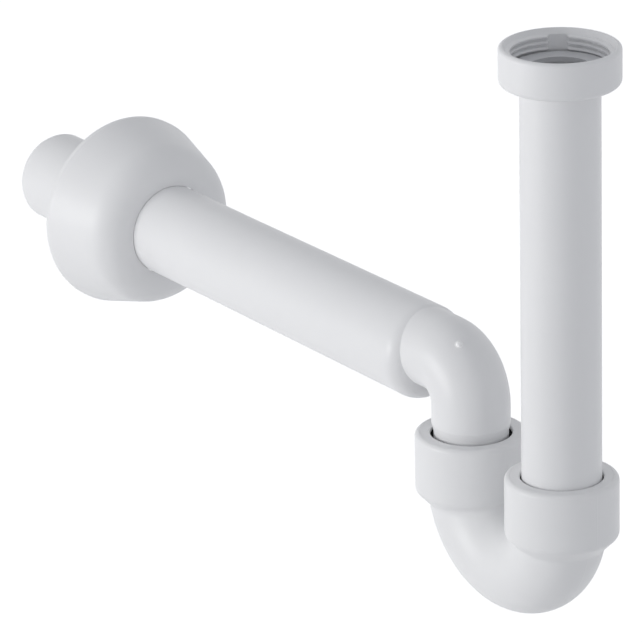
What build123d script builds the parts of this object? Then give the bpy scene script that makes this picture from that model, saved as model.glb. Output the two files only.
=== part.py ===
from build123d import *

import os
from math import atan2, cos, pi, radians, sin, tan

# Tubular basin trap: inlet nut and dip tube, U-bend with two push-fit sockets, outlet bend and wall rosette.
# The origin lies on the inlet axis, at the inner end of the inlet thread.
# +Z is up, and the outlet arm runs along +Y to the wall.

# Driving dimensions, in millimetres

# Inlet union: nut, flat washer and the flange of the dip tube
THREAD_MAJOR_D = 41.91
THREAD_LENGTH = 6.3
NUT_WALL = 3.145
NUT_RIM_HEIGHT = 2.2
NUT_FLOOR = 2.3
NUT_HOLE_CLEARANCE = 0.9
NUT_RIM_ROUND = 1.6
NUT_FOOT_ROUND = 2.5
MOUTH_FLARE = 1.3
RELIEF_DEPTH = 0.35
WASHER_GAP = 0.3
WASHER_THICKNESS = 2.0
WASHER_BORE_INSET = 1.3
FLANGE_CLEARANCE = 1.455
FLANGE_THICKNESS = 2.4
FLANGE_ROUND = 0.8
NUT_SEAT_GAP = 0.05

# Tubes
DIP_TUBE_D = 32.0
TUBE_WALL = 2.0
TUBE_END_CHAMFER = 1.0
TUBE_END_CHAMFER_LENGTH = 2.0
SPIGOT_STEP = 0.8
SPIGOT_TAPER_TOP = 4.0
SPIGOT_TAPER_BOTTOM = 0.6

# U-bend and its sockets; heights are measured down from the sockets' rims
SOCKET_RIM_DROP = 170.0
BEND_SPACING = 60.0
BEND_OVERSIZE = 2.2
BEND_WALL = 3.2
BEND_START_DEPTH = 18.4
SOCKET_WALL = 2.25
SOCKET_DEPTH = 24.5
SOCKET_CONE = 10.0
SOCKET_ROUND = 2.0
CONE_ROUND = 3.0
CONE_BLEND = 3.0
GUIDE_CLEARANCE = 0.3
GUIDE_STOP_DEPTH = 23.0
TUBE_INSERTION = 19.5

# Retaining ring and lip seal inside each socket
RING_TUBE_GAP = 0.6
RING_WIDTH = 4.0
RING_HEIGHT = 1.8
RING_ROUND = 0.8
SEAL_TUBE_GAP = 1.6
SEAL_WALL = 2.4
SEAL_HEIGHT = 6.8
SEAL_LIP_HEIGHT = 1.4
SEAL_GAP = 0.1
RING_GAP = 0.05
LIP_GAP = 0.05

# Outlet bend: elbow and tapered arm in one moulding
ELBOW_THROAT = 0.5
ELBOW_RISE = 28.0
CROWN_STEP = 0.4
ARM_START = 24.7
ARM_LENGTH = 279.0
ARM_SHOULDER = 3.8
ARM_TAPER = 0.5
ARM_WALL = 2.2
ARM_END_WALL = 2.6
SHOULDER_ROUND = 7.5
ARM_PLAIN_LENGTH = 134.0
PIPE_END_LENGTH = 45.0
PIPE_END_STEP = 0.25
ARM_END_CHAMFER = 1.0
ARM_END_CHAMFER_LENGTH = 2.0
GATE_D = 2.4
GATE_HEIGHT = 1.0
GATE_ROUND = 0.7
GATE_BEND_ANGLE = 58.4
GATE_SIDE_ANGLE = 20.6

# Wall rosette, a hollow bell that slides on the arm
ROSETTE_D = 82.0
ROSETTE_NOSE_D = 64.4
ROSETTE_DEPTH = 35.0
ROSETTE_SKIRT = 2.5
ROSETTE_WALL = 2.0
ROSETTE_NOSE_FLAT = 1.6
ROSETTE_RIM_ROUND = 0.8
ROSETTE_CLEARANCE = 0.15
ROSETTE_SETBACK = 54.4

# Diameters that follow from the sizes above
NUT_OUTER_D = THREAD_MAJOR_D + 2 * NUT_WALL
FLANGE_D = THREAD_MAJOR_D - 2 * FLANGE_CLEARANCE
BEND_OUTER_D = DIP_TUBE_D + 2 * BEND_OVERSIZE
ELBOW_D = DIP_TUBE_D
ARM_START_D = ELBOW_D + 2 * ARM_SHOULDER
ARM_END_D = ARM_START_D - 2 * ARM_TAPER
PIPE_END_D = ARM_END_D - 2 * PIPE_END_STEP
SPIGOT_D = ELBOW_D - 2 * SPIGOT_STEP
RING_HOLE_D = DIP_TUBE_D + 2 * RING_TUBE_GAP
RING_D = RING_HOLE_D + 2 * RING_WIDTH
SEAL_BODY_BORE_D = DIP_TUBE_D + 2 * SEAL_TUBE_GAP
SEAL_D = SEAL_BODY_BORE_D + 2 * SEAL_WALL
SOCKET_D = RING_D + 2 * SOCKET_WALL
ROSETTE_BORE_D = ARM_END_D + 2 * ROSETTE_CLEARANCE

# Places that follow from the sizes above
NUT_TOP = THREAD_LENGTH + NUT_RIM_HEIGHT
WASHER_TOP = -WASHER_GAP
FLANGE_TOP = WASHER_TOP - WASHER_THICKNESS
FLANGE_BOTTOM = FLANGE_TOP - FLANGE_THICKNESS
NUT_FLOOR_TOP = FLANGE_BOTTOM - NUT_SEAT_GAP
NUT_BOTTOM = NUT_FLOOR_TOP - NUT_FLOOR
DIP_TUBE_R = DIP_TUBE_D / 2
DIP_BORE_R = DIP_TUBE_R - TUBE_WALL
RIM_Z = -SOCKET_RIM_DROP
BEND_Z = RIM_Z - BEND_START_DEPTH
BEND_RADIUS = BEND_SPACING / 2
TUBE_END_Z = RIM_Z - TUBE_INSERTION
ELBOW_R = ELBOW_D / 2
ELBOW_BORE_R = ELBOW_R - TUBE_WALL
SPIGOT_BORE_R = SPIGOT_D / 2 - TUBE_WALL
ELBOW_RADIUS = ELBOW_R + ELBOW_THROAT
CROWN_OFFSET = (ARM_START_D - ELBOW_D) / 2 - CROWN_STEP
ELBOW_Z = RIM_Z + ELBOW_RISE
ELBOW_START_Z = ELBOW_Z - ELBOW_RADIUS
ARM_Z = ELBOW_Z - CROWN_OFFSET
ARM_END = ARM_START + ARM_LENGTH
ROSETTE_BACK = ARM_END - ROSETTE_SETBACK
ROSETTE_FRONT = ROSETTE_BACK - ROSETTE_DEPTH
ARM_TAPER_END = ARM_END - ARM_PLAIN_LENGTH
PIPE_END_START = ARM_END - PIPE_END_LENGTH


def turned(outline, rounds=()):
    """Solid of revolution about Z from (radius, height) corners; rounds pairs a corner with its fillet."""
    face = make_face(Polyline(*outline, close=True))
    for corner, radius in rounds:
        nearest = face.vertices().sort_by_distance((*corner, 0))[0]
        face = fillet(nearest, radius)
    return revolve(Plane.XZ * face, Axis.Z)


def union_nut():
    """Smooth round nut: threaded mouth, relief groove, and a floor that bears under the dip tube's flange."""
    outer_r = NUT_OUTER_D / 2
    thread_r = THREAD_MAJOR_D / 2
    hole_r = DIP_TUBE_R + NUT_HOLE_CLEARANCE
    outline = [
        (hole_r, NUT_BOTTOM),
        (outer_r, NUT_BOTTOM),
        (outer_r, NUT_TOP),
        (thread_r + MOUTH_FLARE, NUT_TOP),
        (thread_r, THREAD_LENGTH),
        (thread_r, 0),
        (thread_r + RELIEF_DEPTH, 0),
        (thread_r + RELIEF_DEPTH, FLANGE_TOP),
        (thread_r, FLANGE_TOP),
        (thread_r, NUT_FLOOR_TOP),
        (hole_r, NUT_FLOOR_TOP),
    ]
    rounds = [((outer_r, NUT_BOTTOM), NUT_FOOT_ROUND), ((outer_r, NUT_TOP), NUT_RIM_ROUND)]
    return turned(outline, rounds)


def inlet_washer():
    """Flat washer between the basin waste and the dip tube's flange."""
    bore_r = DIP_BORE_R - WASHER_BORE_INSET
    outline = [
        (bore_r, FLANGE_TOP),
        (FLANGE_D / 2, FLANGE_TOP),
        (FLANGE_D / 2, WASHER_TOP),
        (bore_r, WASHER_TOP),
    ]
    return turned(outline)


def dip_tube():
    """Straight inlet tube with a flange at the top and a chamfered lower end."""
    flange_r = FLANGE_D / 2
    outline = [
        (DIP_BORE_R, TUBE_END_Z),
        (DIP_TUBE_R - TUBE_END_CHAMFER, TUBE_END_Z),
        (DIP_TUBE_R, TUBE_END_Z + TUBE_END_CHAMFER_LENGTH),
        (DIP_TUBE_R, FLANGE_BOTTOM),
        (flange_r, FLANGE_BOTTOM),
        (flange_r, FLANGE_TOP),
        (DIP_BORE_R, FLANGE_TOP),
    ]
    return turned(outline, [((DIP_TUBE_R, FLANGE_BOTTOM), FLANGE_ROUND)])


def socket_body():
    """Outside of one socket: a collar with a rounded rim and a cone that runs into the bend."""
    collar_r = SOCKET_D / 2
    collar_z = RIM_Z - SOCKET_DEPTH
    outline = [
        (0, collar_z - SOCKET_CONE),
        (collar_r - SOCKET_CONE, collar_z - SOCKET_CONE),
        (collar_r, collar_z),
        (collar_r, RIM_Z),
        (0, RIM_Z),
    ]
    return turned(outline, [((collar_r, collar_z), CONE_ROUND), ((collar_r, RIM_Z), SOCKET_ROUND)])


def socket_cavity(tube_r):
    """Inside of one socket: ring seat, seal groove and a guide bore for a tube of that radius."""
    ring_seat_z = RIM_Z - RING_HEIGHT - RING_GAP
    groove_z = ring_seat_z - SEAL_HEIGHT - 2 * SEAL_GAP
    guide_r = tube_r + GUIDE_CLEARANCE
    outline = [
        (0, RIM_Z - GUIDE_STOP_DEPTH),
        (guide_r, RIM_Z - GUIDE_STOP_DEPTH),
        (guide_r, groove_z),
        (SEAL_D / 2 + SEAL_GAP, groove_z),
        (SEAL_D / 2 + SEAL_GAP, ring_seat_z),
        (RING_D / 2 + RING_GAP, ring_seat_z),
        (RING_D / 2 + RING_GAP, RIM_Z),
        (0, RIM_Z),
    ]
    return turned(outline)


def half_ring(radius):
    """Lower half of a round tube bent through 180 degrees between the two sockets."""
    axis = Axis((0, BEND_RADIUS, BEND_Z), (1, 0, 0))
    return revolve(Pos(0, 0, BEND_Z) * Circle(radius), axis, 180)


def u_bend():
    """One moulding: two sockets joined by the water-holding bend."""
    outlet = Pos(0, BEND_SPACING, 0)
    outside = half_ring(BEND_OUTER_D / 2) + socket_body() + outlet * socket_body()
    outside = fillet(outside.edges().filter_by(GeomType.BSPLINE), CONE_BLEND)
    waterway = half_ring(BEND_OUTER_D / 2 - BEND_WALL)
    inlet_cavity = socket_cavity(DIP_TUBE_R)
    outlet_cavity = outlet * socket_cavity(SPIGOT_D / 2)
    return outside - waterway - inlet_cavity - outlet_cavity


def socket_ring():
    """Ring pressed into a socket's mouth to hold the lip seal down, flush with the rim."""
    ring_r = RING_D / 2
    hole_r = RING_HOLE_D / 2
    outline = [
        (hole_r, RIM_Z - RING_HEIGHT),
        (ring_r, RIM_Z - RING_HEIGHT),
        (ring_r, RIM_Z),
        (hole_r, RIM_Z),
    ]
    return turned(outline, [((hole_r, RIM_Z), RING_ROUND)])


def lip_seal(tube_r):
    """Rubber ring with one inward lip that wipes a tube of that radius."""
    top = RIM_Z - RING_HEIGHT - RING_GAP - SEAL_GAP
    bottom = top - SEAL_HEIGHT
    lip_r = tube_r + LIP_GAP
    body_r = SEAL_BODY_BORE_D / 2
    lip_root = top - SEAL_LIP_HEIGHT
    outline = [
        (body_r, bottom),
        (SEAL_D / 2, bottom),
        (SEAL_D / 2, top),
        (body_r, top),
        (lip_r, bottom + 2 * SEAL_LIP_HEIGHT),
        (lip_r, bottom + SEAL_LIP_HEIGHT),
        (body_r, lip_root - SEAL_LIP_HEIGHT),
    ]
    return turned(outline)


def elbow_run(radius, spigot_r):
    """Solid along the elbow: spigot, taper, upright leg, quarter bend and the stub that enters the arm."""
    taper_top = RIM_Z + SPIGOT_TAPER_TOP
    taper_bottom = RIM_Z + SPIGOT_TAPER_BOTTOM
    leg = turned([
        (0, TUBE_END_Z),
        (spigot_r, TUBE_END_Z),
        (spigot_r, taper_bottom),
        (radius, taper_top),
        (radius, ELBOW_START_Z),
        (0, ELBOW_START_Z),
    ])
    bend_axis = Axis((0, ELBOW_RADIUS, ELBOW_START_Z), (-1, 0, 0))
    bend = revolve(Pos(0, 0, ELBOW_START_Z) * Circle(radius), bend_axis, 90)
    stub_length = ARM_START + SHOULDER_ROUND - ELBOW_RADIUS
    stub = Pos(0, ELBOW_RADIUS, ELBOW_Z) * Rot(-90, 0, 0) * extrude(Circle(radius), stub_length)
    return leg + bend + stub


def arm_wall():
    """Outside and inside of the arm: rounded shoulder at the elbow, slight taper and a plain open end."""
    start_r = ARM_START_D / 2
    end_r = ARM_END_D / 2
    pipe_end_r = PIPE_END_D / 2
    outside = turned(
        [
            (0, ARM_START),
            (start_r, ARM_START),
            (end_r, ARM_TAPER_END),
            (end_r, PIPE_END_START),
            (pipe_end_r, PIPE_END_START),
            (pipe_end_r, ARM_END - ARM_END_CHAMFER_LENGTH),
            (pipe_end_r - ARM_END_CHAMFER, ARM_END),
            (0, ARM_END),
        ],
        [((start_r, ARM_START), SHOULDER_ROUND)],
    )
    inner_start = (start_r - ARM_WALL, ARM_START + ARM_END_WALL)
    inside = turned(
        [
            (0, ARM_START + ARM_END_WALL),
            inner_start,
            (end_r - ARM_WALL, ARM_TAPER_END),
            (end_r - ARM_WALL, ARM_END),
            (0, ARM_END),
        ],
        [(inner_start, SHOULDER_ROUND - ARM_WALL)],
    )
    return outside, inside


def along_arm(shape):
    """Lays a solid made about Z along the arm, with its heights measured from the outlet leg's axis."""
    return Pos(0, BEND_SPACING, ARM_Z) * Rot(-90, 0, 0) * shape


def gate_mark():
    """Small moulding gate left on the outside of the elbow, towards the viewer's side."""
    turn = radians(GATE_BEND_ANGLE)
    crown_r = ELBOW_RADIUS + ELBOW_R * cos(radians(GATE_SIDE_ANGLE))
    spot = (
        -ELBOW_R * sin(radians(GATE_SIDE_ANGLE)),
        BEND_SPACING + ELBOW_RADIUS - crown_r * cos(turn),
        ELBOW_START_Z + crown_r * sin(turn),
    )
    centre = (0, BEND_SPACING + ELBOW_RADIUS * (1 - cos(turn)), ELBOW_START_Z + ELBOW_RADIUS * sin(turn))
    outwards = Vector(*spot) - Vector(*centre)
    base = Plane(origin=spot, z_dir=outwards).offset(-GATE_HEIGHT)
    nub = extrude(base * Circle(GATE_D / 2), 2 * GATE_HEIGHT)
    return fillet(nub.faces().sort_by_distance(Vector(*centre))[-1].edges(), GATE_ROUND)


def outlet_bend():
    """Elbow and arm in one moulding, with their tops nearly level so that the arm carries no air pocket."""
    outlet = Pos(0, BEND_SPACING, 0)
    arm_outside, arm_inside = arm_wall()
    outside = outlet * elbow_run(ELBOW_R, SPIGOT_D / 2) + along_arm(arm_outside) + gate_mark()
    inside = outlet * elbow_run(ELBOW_BORE_R, SPIGOT_BORE_R) + along_arm(arm_inside)
    return outside - inside


def wall_rosette():
    """Hollow bell open towards the wall, with a short skirt, a conical side and a rounded nose."""
    rim_r = ROSETTE_D / 2
    nose_r = ROSETTE_NOSE_D / 2
    bore_r = ROSETTE_BORE_D / 2
    skirt = ROSETTE_BACK - ROSETTE_SKIRT
    inner_front = ROSETTE_FRONT + ROSETTE_WALL
    cone_angle = atan2(rim_r - nose_r, skirt - ROSETTE_FRONT)
    nose_round = (nose_r - bore_r - ROSETTE_NOSE_FLAT) / tan((pi / 2 - cone_angle) / 2)
    outline = [
        (bore_r, ROSETTE_FRONT),
        (nose_r, ROSETTE_FRONT),
        (rim_r, skirt),
        (rim_r, ROSETTE_BACK),
        (rim_r - ROSETTE_WALL, ROSETTE_BACK),
        (rim_r - ROSETTE_WALL, skirt),
        (nose_r - ROSETTE_WALL, inner_front),
        (bore_r, inner_front),
    ]
    rounds = [
        ((nose_r, ROSETTE_FRONT), nose_round),
        ((nose_r - ROSETTE_WALL, inner_front), nose_round - ROSETTE_WALL),
        ((rim_r, ROSETTE_BACK), ROSETTE_RIM_ROUND),
    ]
    return along_arm(turned(outline, rounds))


def main():
    outlet = Pos(0, BEND_SPACING, 0)
    nodes = {
        "union_nut": union_nut(),
        "inlet_washer": inlet_washer(),
        "dip_tube": dip_tube(),
        "u_bend": u_bend(),
        "inlet_socket_ring": socket_ring(),
        "inlet_lip_seal": lip_seal(DIP_TUBE_R),
        "outlet_socket_ring": outlet * socket_ring(),
        "outlet_lip_seal": outlet * lip_seal(SPIGOT_D / 2),
        "outlet_bend": outlet_bend(),
        "wall_rosette": wall_rosette(),
    }
    os.makedirs("parts", exist_ok=True)
    for name, shape in nodes.items():
        export_step(shape, f"parts/{name}.step")


main()
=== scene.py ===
from math import cos, pi, radians, sin

import bpy
from mathutils import Matrix, Vector


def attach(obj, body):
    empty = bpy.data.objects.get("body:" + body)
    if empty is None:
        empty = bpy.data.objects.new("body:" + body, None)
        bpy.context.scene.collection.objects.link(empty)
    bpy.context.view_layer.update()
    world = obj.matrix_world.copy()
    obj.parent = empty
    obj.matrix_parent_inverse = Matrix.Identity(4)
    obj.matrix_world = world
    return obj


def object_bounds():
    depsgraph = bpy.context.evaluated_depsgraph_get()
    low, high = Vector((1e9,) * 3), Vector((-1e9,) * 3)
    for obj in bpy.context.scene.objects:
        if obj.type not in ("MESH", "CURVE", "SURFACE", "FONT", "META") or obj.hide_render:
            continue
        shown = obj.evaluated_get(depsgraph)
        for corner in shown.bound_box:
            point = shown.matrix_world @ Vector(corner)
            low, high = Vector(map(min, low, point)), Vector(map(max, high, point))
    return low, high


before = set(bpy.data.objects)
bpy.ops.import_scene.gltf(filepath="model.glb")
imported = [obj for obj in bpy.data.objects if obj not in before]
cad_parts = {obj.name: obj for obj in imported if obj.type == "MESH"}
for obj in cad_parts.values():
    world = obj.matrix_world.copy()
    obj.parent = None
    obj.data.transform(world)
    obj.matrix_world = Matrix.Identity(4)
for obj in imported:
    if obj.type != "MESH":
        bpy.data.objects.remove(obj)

# A white plastic basin trap: its finishes, the nut's interrupted thread, light and camera
CAD_LOW, CAD_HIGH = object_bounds()

# The nut's inner thread, in metres and degrees
THREAD_PITCH = 0.00231
THREAD_ROOT_RADIUS = 0.0214
THREAD_CREST_RADIUS = 0.0194
THREAD_ROOT_WIDTH = 0.00195
THREAD_CREST_WIDTH = 0.0009
THREAD_CREST_ROUND = 0.00022
THREAD_ROUND_STEPS = 3
THREAD_END_RUN = 0.0010
THREAD_END_SINK = 0.0014
THREAD_FIRST_Z = 0.0001
THREAD_BLOCKS = 3
THREAD_GAP_ANGLE = 25.0
THREAD_BACK_ANGLE = 55.04
THREAD_RIDGES = 8
THREAD_STEPS = 48
THREAD_SMOOTH_ANGLE = 40
SAME_POINT = 1e-7
ON_PLANE = 1e-6

# The moulding gate on the elbow, a small glossy nub whose spot is painted white as a painted highlight
GATE_PLACE = (-0.0058, 0.0599, -0.1313)
GATE_RADIUS = 0.0018
# Painted highlight: the colour the gate's spot is painted
GATE_PAINTED_HIGHLIGHT = (1.0, 1.0, 1.0)
GATE_SMOOTHER = 0.22

# The moulded skin: scales in marks per metre, and the shares of two noises in one value
CLOUD_SCALE = 28.0
PATCH_SCALE = 160.0
TONE_SHARES = (0.7, 0.3)
ROUGHNESS_SHARES = (0.6, 0.4)
STREAK_SHARES = (0.6, 0.4)
SEAM_BREAK_SCALE = 240.0
SEAM_LEAST = 0.35
SEAM_LIGHTER = 0.25
NOISE_LOW = 0.25
NOISE_HIGH = 0.75
FULL_RANGE = (0.0, 1.0)

# Heights of the surface marks, in metres, and how strongly they show
SKIN_HEIGHT = 0.00004
WASHER_SKIN_HEIGHT = 0.00005
RUBBER_SKIN_HEIGHT = 0.00006
STREAK_HEIGHT = 0.000012
SEAM_HEIGHT = 0.00008
SEAM_HALF_WIDTH = 0.00025
FAINT = 0.5
CLEAR = 0.6

# Plastic, washer and rubber: colours at both ends of the tone, and the range of roughness
MOULDED_WHITE = (0.86, 0.862, 0.868)
PLASTIC_IOR = 1.49
WASHER_LIGHT = (0.66, 0.665, 0.68)
WASHER_DARK = (0.6, 0.605, 0.62)
WASHER_ROUGHNESS = (0.5, 0.68)
SPECK_SCALE = 1900.0
SPECK_LEVEL = 0.68
SPECK_DARKER = 0.2
RUBBER_BLACK = (0.010, 0.010, 0.011)
RUBBER_DUSTY = (0.026, 0.026, 0.027)
RUBBER_ROUGHNESS = (0.55, 0.75)
DUST_SCALE = 700.0
DUST_RANGE = (-0.6, 1.0)

# The camera, as the photograph was taken
CAMERA_PLACE = Vector((-1.40919, -1.85149, 0.77786))
CAMERA_AZIMUTH = radians(-34.961)
CAMERA_ELEVATION = radians(20.754)
CAMERA_ROLL = radians(-1.071)
CAMERA_LENS = 356.37
CAMERA_SENSOR = 36.0
CAMERA_NEAR = 0.1
CAMERA_FAR = 60

# Room and light; the lamps stand to the left and right of the camera, a little below the trap's middle
FLOOR_SIZE = 14.0
FLOOR_GAP = 0.009
FLOOR_WHITE = (0.94, 0.94, 0.94, 1)
FLOOR_ROUGHNESS = 0.9
FLOOR_GLOW = 0.56
AIR_LIGHT = (0.475, 0.483, 0.505)
KEY_ANGLE = radians(70)
KEY_SLOPE = -0.02
KEY_SIZE = 1.1
KEY_DISTANCE = 1.6
KEY_POWER = 17.4
KEY_COLOUR = (1.0, 0.995, 0.985)
FILL_ANGLE = radians(58)
FILL_SLOPE = -0.05
FILL_SIZE = 1.6
FILL_DISTANCE = 2.2
FILL_POWER = 5.2
FILL_COLOUR = (0.97, 0.985, 1.0)


def edit(piece):
    """Only this piece selected, in edit mode with nothing selected in it."""
    bpy.ops.object.select_all(action="DESELECT")
    bpy.context.view_layer.objects.active = piece
    piece.select_set(True)
    bpy.ops.object.mode_set(mode="EDIT")
    bpy.ops.mesh.select_mode(type="VERT")
    bpy.ops.mesh.select_all(action="DESELECT")


def pick(piece, wanted):
    """Selects the points of the edited piece whose place answers to the test."""
    bpy.ops.mesh.select_all(action="DESELECT")
    bpy.ops.object.mode_set(mode="OBJECT")
    for point in piece.data.vertices:
        point.select = wanted(point.co)
    bpy.ops.object.mode_set(mode="EDIT")


def apply_all(piece):
    """Every modifier of the piece becomes its mesh."""
    bpy.context.view_layer.objects.active = piece
    for modifier in list(piece.modifiers):
        bpy.ops.object.modifier_apply(modifier=modifier.name)


def thread_ridge():
    """One ridge of the nut's thread, from one gap to the next, starting at angle 0 and height 0."""
    block_angle = radians(360 / THREAD_BLOCKS - THREAD_GAP_ANGLE)
    depth = THREAD_ROOT_RADIUS - THREAD_CREST_RADIUS
    middle = (THREAD_ROOT_RADIUS + THREAD_CREST_RADIUS) / 2
    bpy.ops.object.select_all(action="DESELECT")
    bpy.ops.mesh.primitive_plane_add(size=1, location=(middle, 0, 0), rotation=(pi / 2, 0, 0))
    ridge = bpy.context.object
    ridge.name = "thread_ridge"
    ridge.scale = (depth, THREAD_ROOT_WIDTH, 1)
    bpy.ops.object.transform_apply(location=True, rotation=True, scale=True)
    edit(ridge)
    pick(ridge, lambda place: place.x < middle)
    bpy.ops.transform.resize(
        value=(1, 1, THREAD_CREST_WIDTH / THREAD_ROOT_WIDTH), center_override=(middle, 0, 0)
    )
    bpy.ops.mesh.bevel(offset=THREAD_CREST_ROUND, segments=THREAD_ROUND_STEPS, affect="VERTICES")
    bpy.ops.object.mode_set(mode="OBJECT")
    sweep = ridge.modifiers.new("sweep", "SCREW")
    sweep.axis = "Z"
    sweep.angle = block_angle
    sweep.screw_offset = THREAD_PITCH * block_angle / (2 * pi)
    sweep.steps = THREAD_STEPS
    sweep.render_steps = THREAD_STEPS
    apply_all(ridge)
    edit(ridge)
    bpy.ops.mesh.select_all(action="SELECT")
    bpy.ops.mesh.remove_doubles(threshold=SAME_POINT)
    bpy.ops.mesh.fill_holes(sides=0)
    for angle, way in ((0.0, -1), (block_angle, 1)):
        across = Vector((-sin(angle), cos(angle), 0))
        outward = Vector((cos(angle), sin(angle), 0))
        pick(ridge, lambda place: abs(place.dot(across)) < ON_PLANE and place.dot(outward) > 0)
        bpy.ops.mesh.select_mode(type="FACE")
        bpy.ops.mesh.extrude_region_move(
            TRANSFORM_OT_translate={"value": across * way * THREAD_END_RUN + outward * THREAD_END_SINK}
        )
        bpy.ops.mesh.select_mode(type="VERT")
    bpy.ops.mesh.select_all(action="SELECT")
    bpy.ops.mesh.normals_make_consistent(inside=False)
    bpy.ops.object.mode_set(mode="OBJECT")
    return ridge


def nut_thread():
    """The nut's thread: short ridges along one helix, with smooth gaps between the blocks."""
    first = thread_ridge()
    step = 360 / THREAD_BLOCKS
    ridges = []
    for number in range(THREAD_RIDGES):
        ridge = first.copy()
        ridge.data = first.data.copy()
        bpy.context.scene.collection.objects.link(ridge)
        turn = THREAD_BACK_ANGLE + THREAD_GAP_ANGLE / 2 + (number - 1) * step
        ridge.rotation_euler = (0, 0, radians(turn))
        ridge.location = (0, 0, THREAD_FIRST_Z + THREAD_PITCH * number / THREAD_BLOCKS)
        ridges.append(ridge)
    bpy.data.objects.remove(first)
    bpy.ops.object.select_all(action="DESELECT")
    for ridge in ridges:
        ridge.select_set(True)
    bpy.context.view_layer.objects.active = ridges[0]
    bpy.ops.object.join()
    thread = bpy.context.object
    thread.name = "nut_thread"
    bpy.ops.object.transform_apply(location=True, rotation=True, scale=True)
    bpy.ops.object.shade_smooth_by_angle(angle=radians(THREAD_SMOOTH_ANGLE))
    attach(thread, "nut")
    return thread


def link(tree, source, target):
    tree.links.new(source, target)


def set_or_link(tree, value, socket):
    """Gives a socket a plain number or colour, or links another socket to it."""
    if isinstance(value, bpy.types.NodeSocket):
        link(tree, value, socket)
    else:
        socket.default_value = value


def math_node(tree, operation, first, second=None, clamp=False):
    """A Math node whose inputs are sockets or plain numbers."""
    made = tree.nodes.new("ShaderNodeMath")
    made.operation = operation
    made.use_clamp = clamp
    set_or_link(tree, first, made.inputs[0])
    if second is not None:
        set_or_link(tree, second, made.inputs[1])
    return made.outputs[0]


def share_out(tree, first, second, first_share, second_share):
    """Two values added, each times its share."""
    first_part = math_node(tree, "MULTIPLY", first, first_share)
    second_part = math_node(tree, "MULTIPLY", second, second_share)
    return math_node(tree, "ADD", first_part, second_part)


def noise(tree, place, scale, detail, roughness=0.5):
    made = tree.nodes.new("ShaderNodeTexNoise")
    made.inputs["Detail"].default_value = detail
    made.inputs["Roughness"].default_value = roughness
    set_or_link(tree, scale, made.inputs["Scale"])
    link(tree, place, made.inputs["Vector"])
    return made.outputs["Fac"]


def own_place(tree):
    """The point's place in the piece's own coordinates."""
    return tree.nodes.new("ShaderNodeTexCoord").outputs["Object"]


def new_group(name, inputs, outputs):
    """An empty shader group with number inputs and outputs by name."""
    group = bpy.data.node_groups.new(name, "ShaderNodeTree")
    for title, value in inputs:
        socket = group.interface.new_socket(name=title, in_out="INPUT", socket_type="NodeSocketFloat")
        socket.default_value = value
    for title in outputs:
        group.interface.new_socket(name=title, in_out="OUTPUT", socket_type="NodeSocketFloat")
    return group, group.nodes.new("NodeGroupInput"), group.nodes.new("NodeGroupOutput")


def moulded_skin_group():
    """Fine grain from the mould, slow waves where the wall shrank, slow changes of tone and roughness."""
    group, given, result = new_group(
        "moulded skin",
        (("Grain Scale", 2200.0), ("Wave Scale", 90.0), ("Wave Share", 0.6)),
        ("Tone", "Roughness", "Height"),
    )
    place = own_place(group)
    grain = noise(group, place, given.outputs["Grain Scale"], detail=3.0, roughness=0.55)
    wave = noise(group, place, given.outputs["Wave Scale"], detail=2.0, roughness=0.4)
    cloud = noise(group, place, CLOUD_SCALE, detail=3.0)
    patch = noise(group, place, PATCH_SCALE, detail=4.0, roughness=0.6)
    wave_share = given.outputs["Wave Share"]
    grain_share = math_node(group, "SUBTRACT", 1.0, wave_share)
    link(group, share_out(group, cloud, patch, *TONE_SHARES), result.inputs["Tone"])
    link(group, share_out(group, patch, grain, *ROUGHNESS_SHARES), result.inputs["Roughness"])
    link(group, share_out(group, wave, grain, wave_share, grain_share), result.inputs["Height"])
    return group


def parting_seam_group():
    """The fine raised line where the two halves of a mould met, on a plane across X."""
    group, given, result = new_group(
        "parting seam", (("Plane", 0.0), ("Half Width", SEAM_HALF_WIDTH)), ("Seam",)
    )
    place = own_place(group)
    split = group.nodes.new("ShaderNodeSeparateXYZ")
    link(group, place, split.inputs["Vector"])
    aside = math_node(group, "SUBTRACT", split.outputs["X"], given.outputs["Plane"])
    away = math_node(group, "ABSOLUTE", aside)
    in_widths = math_node(group, "DIVIDE", away, given.outputs["Half Width"])
    near = math_node(group, "SUBTRACT", 1.0, in_widths, clamp=True)
    broken = noise(group, place, SEAM_BREAK_SCALE, detail=2.0)
    strength = math_node(group, "ADD", broken, SEAM_LEAST, clamp=True)
    link(group, math_node(group, "MULTIPLY", near, strength), result.inputs["Seam"])
    return group


def drawn_streaks_group():
    """Faint lines along a pipe, left as it was drawn from its tool."""
    group, given, result = new_group(
        "drawn streaks",
        (("Along X", 1.0), ("Along Y", 1.0), ("Along Z", 0.02), ("Scale", 900.0)),
        ("Streak",),
    )
    stretch = group.nodes.new("ShaderNodeCombineXYZ")
    for axis in "XYZ":
        link(group, given.outputs["Along " + axis], stretch.inputs[axis])
    scaled = group.nodes.new("ShaderNodeVectorMath")
    scaled.operation = "MULTIPLY"
    link(group, own_place(group), scaled.inputs[0])
    link(group, stretch.outputs["Vector"], scaled.inputs[1])
    lines = noise(group, scaled.outputs["Vector"], given.outputs["Scale"], detail=2.0)
    link(group, lines, result.inputs["Streak"])
    return group


SKIN = moulded_skin_group()
SEAM = parting_seam_group()
STREAKS = drawn_streaks_group()


def place_group(tree, group, **values):
    made = tree.nodes.new("ShaderNodeGroup")
    made.node_tree = group
    for title, value in values.items():
        made.inputs[title.replace("_", " ")].default_value = value
    return made


def spread(tree, source, low, high):
    """The middle half of a noise's range, spread between two values."""
    made = tree.nodes.new("ShaderNodeMapRange")
    made.inputs["From Min"].default_value = NOISE_LOW
    made.inputs["From Max"].default_value = NOISE_HIGH
    made.inputs["To Min"].default_value = low
    made.inputs["To Max"].default_value = high
    link(tree, source, made.inputs["Value"])
    return made.outputs["Result"]


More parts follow.
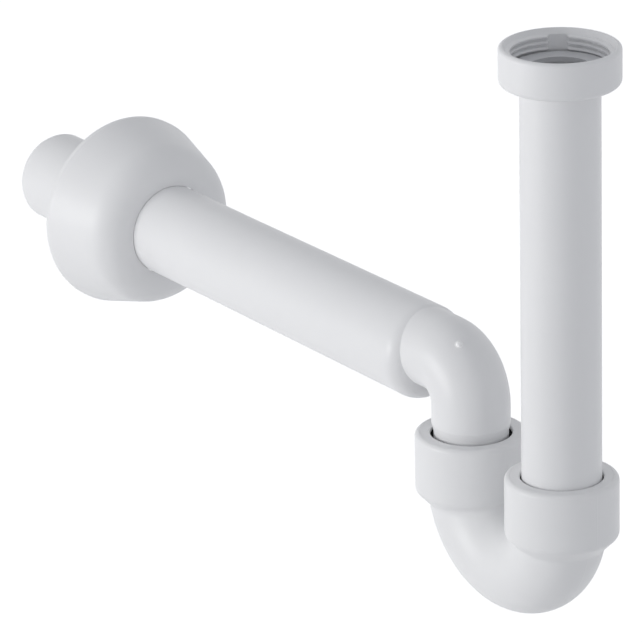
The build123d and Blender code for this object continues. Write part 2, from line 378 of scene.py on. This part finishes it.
def two_colours(tree, factor, first, second):
    """A mix of two colours, the first a plain colour or a socket."""
    made = tree.nodes.new("ShaderNodeMix")
    made.data_type = "RGBA"
    factor_input = next(
        socket for socket in made.inputs if socket.name == "Factor" and socket.type == "VALUE"
    )
    first_input, second_input = [socket for socket in made.inputs if socket.type == "RGBA"]
    link(tree, factor, factor_input)
    set_or_link(tree, (*first, 1.0) if isinstance(first, tuple) else first, first_input)
    second_input.default_value = (*second, 1.0)
    return next(socket for socket in made.outputs if socket.type == "RGBA")


def bump(tree, height, distance, strength, under=None):
    made = tree.nodes.new("ShaderNodeBump")
    made.inputs["Distance"].default_value = distance
    made.inputs["Strength"].default_value = strength
    link(tree, height, made.inputs["Height"])
    if under is not None:
        link(tree, under, made.inputs["Normal"])
    return made.outputs["Normal"]


def blank_material(name):
    material = bpy.data.materials.new(name)
    material.use_nodes = True
    tree = material.node_tree
    return material, tree, tree.nodes["Principled BSDF"]


def white_plastic(name, light, dark, roughness, wave_scale, seam=False, streaks=None):
    """Satin white polypropylene: grain, waves and slow tone, and a mould seam or drawn lines where asked."""
    material, tree, shader = blank_material(name)
    skin = place_group(tree, SKIN, Wave_Scale=wave_scale)
    tone = skin.outputs["Tone"]
    rough = skin.outputs["Roughness"]
    normal = bump(tree, skin.outputs["Height"], SKIN_HEIGHT, FAINT)
    if streaks is not None:
        lines = place_group(tree, STREAKS, **streaks).outputs["Streak"]
        normal = bump(tree, lines, STREAK_HEIGHT, FAINT, normal)
        rough = share_out(tree, rough, lines, *STREAK_SHARES)
    if seam:
        line = place_group(tree, SEAM, Half_Width=SEAM_HALF_WIDTH).outputs["Seam"]
        normal = bump(tree, line, SEAM_HEIGHT, CLEAR, normal)
        lighter = math_node(tree, "MULTIPLY", line, SEAM_LIGHTER)
        tone = math_node(tree, "SUBTRACT", tone, lighter, clamp=True)
    colour = two_colours(tree, spread(tree, tone, *FULL_RANGE), light, dark)
    link(tree, colour, shader.inputs["Base Color"])
    link(tree, spread(tree, rough, *roughness), shader.inputs["Roughness"])
    link(tree, normal, shader.inputs["Normal"])
    shader.inputs["IOR"].default_value = PLASTIC_IOR
    return material


def gate_gloss_and_painted_highlight(material):
    """The gate's spot is made smoother, and its colour is painted white as a painted highlight."""
    tree = material.node_tree
    shader = tree.nodes["Principled BSDF"]
    away = tree.nodes.new("ShaderNodeVectorMath")
    away.operation = "DISTANCE"
    link(tree, own_place(tree), away.inputs[0])
    away.inputs[1].default_value = GATE_PLACE
    near = math_node(tree, "LESS_THAN", away.outputs["Value"], GATE_RADIUS)
    colour = shader.inputs["Base Color"].links[0].from_socket
    rough = shader.inputs["Roughness"].links[0].from_socket
    smoother = math_node(tree, "SUBTRACT", rough, math_node(tree, "MULTIPLY", near, GATE_SMOOTHER))
    # Painted highlight: the colour near the gate is mixed to white
    link(tree, two_colours(tree, near, colour, GATE_PAINTED_HIGHLIGHT), shader.inputs["Base Color"])
    link(tree, smoother, shader.inputs["Roughness"])


def washer_plastic():
    """Soft pale sealing plastic, matt, with fine specks."""
    material, tree, shader = blank_material("pale_washer")
    skin = place_group(tree, SKIN, Grain_Scale=3200.0, Wave_Scale=260.0, Wave_Share=0.3)
    speck_noise = noise(tree, own_place(tree), SPECK_SCALE, detail=1.0)
    specks = math_node(tree, "GREATER_THAN", speck_noise, SPECK_LEVEL)
    darker = math_node(tree, "MULTIPLY", specks, SPECK_DARKER)
    tone = math_node(tree, "ADD", skin.outputs["Tone"], darker, clamp=True)
    colour = two_colours(tree, spread(tree, tone, *FULL_RANGE), WASHER_LIGHT, WASHER_DARK)
    link(tree, colour, shader.inputs["Base Color"])
    link(tree, spread(tree, skin.outputs["Roughness"], *WASHER_ROUGHNESS), shader.inputs["Roughness"])
    link(tree, bump(tree, skin.outputs["Height"], WASHER_SKIN_HEIGHT, FAINT), shader.inputs["Normal"])
    return material


def seal_rubber():
    """Black rubber with a dull skin and a trace of pale dust."""
    material, tree, shader = blank_material("black_rubber")
    skin = place_group(tree, SKIN, Grain_Scale=2600.0, Wave_Scale=420.0, Wave_Share=0.4)
    dust_noise = noise(tree, own_place(tree), DUST_SCALE, detail=5.0, roughness=0.65)
    colour = two_colours(tree, spread(tree, dust_noise, *DUST_RANGE), RUBBER_BLACK, RUBBER_DUSTY)
    link(tree, colour, shader.inputs["Base Color"])
    link(tree, spread(tree, skin.outputs["Roughness"], *RUBBER_ROUGHNESS), shader.inputs["Roughness"])
    link(tree, bump(tree, skin.outputs["Height"], RUBBER_SKIN_HEIGHT, CLEAR), shader.inputs["Normal"])
    return material


def finish_pieces(thread):
    """Each solid and the thread gets the finish of its own moulding."""
    nut = white_plastic(
        "nut_plastic",
        light=MOULDED_WHITE,
        dark=(0.835, 0.837, 0.845),
        roughness=(0.38, 0.52),
        wave_scale=120.0,
    )
    dip_tube = white_plastic(
        "dip_tube_plastic",
        light=MOULDED_WHITE,
        dark=(0.84, 0.842, 0.849),
        roughness=(0.32, 0.46),
        wave_scale=60.0,
        streaks={"Along_Z": 0.02},
    )
    u_bend = white_plastic(
        "u_bend_plastic",
        light=(0.86, 0.862, 0.866),
        dark=(0.835, 0.838, 0.844),
        roughness=(0.36, 0.5),
        wave_scale=90.0,
        seam=True,
    )
    outlet_bend = white_plastic(
        "outlet_bend_plastic",
        light=MOULDED_WHITE,
        dark=(0.838, 0.84, 0.847),
        roughness=(0.34, 0.48),
        wave_scale=80.0,
        seam=True,
        streaks={"Along_Y": 0.03, "Along_Z": 1.0, "Scale": 600.0},
    )
    gate_gloss_and_painted_highlight(outlet_bend)
    rosette = white_plastic(
        "rosette_plastic",
        light=(0.865, 0.867, 0.873),
        dark=(0.84, 0.842, 0.848),
        roughness=(0.36, 0.5),
        wave_scale=70.0,
    )
    ring = white_plastic(
        "inlet_ring_plastic",
        light=(0.85, 0.852, 0.858),
        dark=(0.825, 0.827, 0.834),
        roughness=(0.4, 0.54),
        wave_scale=150.0,
    )
    rubber = seal_rubber()
    finishes = {
        "union_nut": nut,
        "inlet_washer": washer_plastic(),
        "dip_tube": dip_tube,
        "u_bend": u_bend,
        "inlet_socket_ring": ring,
        "outlet_socket_ring": ring,
        "inlet_lip_seal": rubber,
        "outlet_lip_seal": rubber,
        "outlet_bend": outlet_bend,
        "wall_rosette": rosette,
    }
    for name, material in finishes.items():
        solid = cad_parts[name]
        solid.data.materials.clear()
        solid.data.materials.append(material)
    thread.data.materials.clear()
    thread.data.materials.append(nut)


def place_camera():
    """The camera at the photograph's place, with its slight roll."""
    back = Vector((
        sin(CAMERA_AZIMUTH) * cos(CAMERA_ELEVATION),
        -cos(CAMERA_AZIMUTH) * cos(CAMERA_ELEVATION),
        sin(CAMERA_ELEVATION),
    ))
    level = Vector((cos(CAMERA_AZIMUTH), sin(CAMERA_AZIMUTH), 0))
    upright = back.cross(level)
    right = level * cos(CAMERA_ROLL) + upright * sin(CAMERA_ROLL)
    up = upright * cos(CAMERA_ROLL) - level * sin(CAMERA_ROLL)
    camera = bpy.data.objects.new("camera", bpy.data.cameras.new("camera"))
    bpy.context.scene.collection.objects.link(camera)
    turn = Matrix((right, up, back)).transposed()
    camera.matrix_world = Matrix.Translation(CAMERA_PLACE) @ turn.to_4x4()
    camera.data.lens = CAMERA_LENS
    camera.data.sensor_width = CAMERA_SENSOR
    camera.data.clip_start = CAMERA_NEAR
    camera.data.clip_end = CAMERA_FAR
    bpy.context.scene.camera = camera


def seen_directly(tree):
    """1 where the eye, a gloss or glass sees the surface, 0 where it only lights others."""
    path = tree.nodes.new("ShaderNodeLightPath")
    seen = math_node(tree, "MAXIMUM", path.outputs["Is Camera Ray"], path.outputs["Is Glossy Ray"])
    return math_node(tree, "MAXIMUM", seen, path.outputs["Is Transmission Ray"])


def pale_floor():
    """A white floor below the bend that takes the soft shadow."""
    bpy.ops.object.select_all(action="DESELECT")
    bpy.ops.mesh.primitive_plane_add(size=FLOOR_SIZE, location=(0, 0, CAD_LOW.z - FLOOR_GAP))
    floor = bpy.context.object
    floor.name = "floor"
    material, tree, shader = blank_material("floor_white")
    shader.inputs["Base Color"].default_value = FLOOR_WHITE
    shader.inputs["Roughness"].default_value = FLOOR_ROUGHNESS
    shader.inputs["Specular IOR Level"].default_value = 0.0
    shader.inputs["Emission Color"].default_value = (1, 1, 1, 1)
    glow = math_node(tree, "MULTIPLY", seen_directly(tree), FLOOR_GLOW)
    link(tree, glow, shader.inputs["Emission Strength"])
    floor.data.materials.append(material)


def air_light():
    """Even light from all round, seen as white."""
    world = bpy.data.worlds.new("studio")
    bpy.context.scene.world = world
    world.use_nodes = True
    tree = world.node_tree
    output = tree.nodes["World Output"]
    lit = tree.nodes["Background"]
    lit.inputs["Color"].default_value = (*AIR_LIGHT, 1)
    lit.inputs["Strength"].default_value = 1.0
    white = tree.nodes.new("ShaderNodeBackground")
    white.inputs["Color"].default_value = (1, 1, 1, 1)
    white.inputs["Strength"].default_value = 1.0
    choice = tree.nodes.new("ShaderNodeMixShader")
    link(tree, seen_directly(tree), choice.inputs["Fac"])
    link(tree, lit.outputs["Background"], choice.inputs[1])
    link(tree, white.outputs["Background"], choice.inputs[2])
    link(tree, choice.outputs["Shader"], output.inputs["Surface"])


def soft_light(name, azimuth, slope, distance, size, power, colour):
    """A large soft lamp that faces the middle of the trap."""
    lamp = bpy.data.lights.new(name, "AREA")
    lamp.shape = "DISK"
    lamp.size = size
    lamp.energy = power
    lamp.color = colour
    light = bpy.data.objects.new(name, lamp)
    bpy.context.scene.collection.objects.link(light)
    direction = Vector((sin(azimuth), -cos(azimuth), slope))
    light.location = (CAD_LOW + CAD_HIGH) / 2 + direction.normalized() * distance
    light.rotation_mode = "QUATERNION"
    light.rotation_quaternion = direction.to_track_quat("Z", "Y")


def light_room():
    """A broad lamp from the left, a weak one from the right, and the light of the room."""
    air_light()
    left = CAMERA_AZIMUTH - KEY_ANGLE
    soft_light("key_lamp", left, KEY_SLOPE, KEY_DISTANCE, KEY_SIZE, KEY_POWER, KEY_COLOUR)
    right = CAMERA_AZIMUTH + FILL_ANGLE
    soft_light("fill_lamp", right, FILL_SLOPE, FILL_DISTANCE, FILL_SIZE, FILL_POWER, FILL_COLOUR)


finish_pieces(nut_thread())
place_camera()
pale_floor()
light_room()
bpy.context.scene.view_settings.view_transform = "Standard"
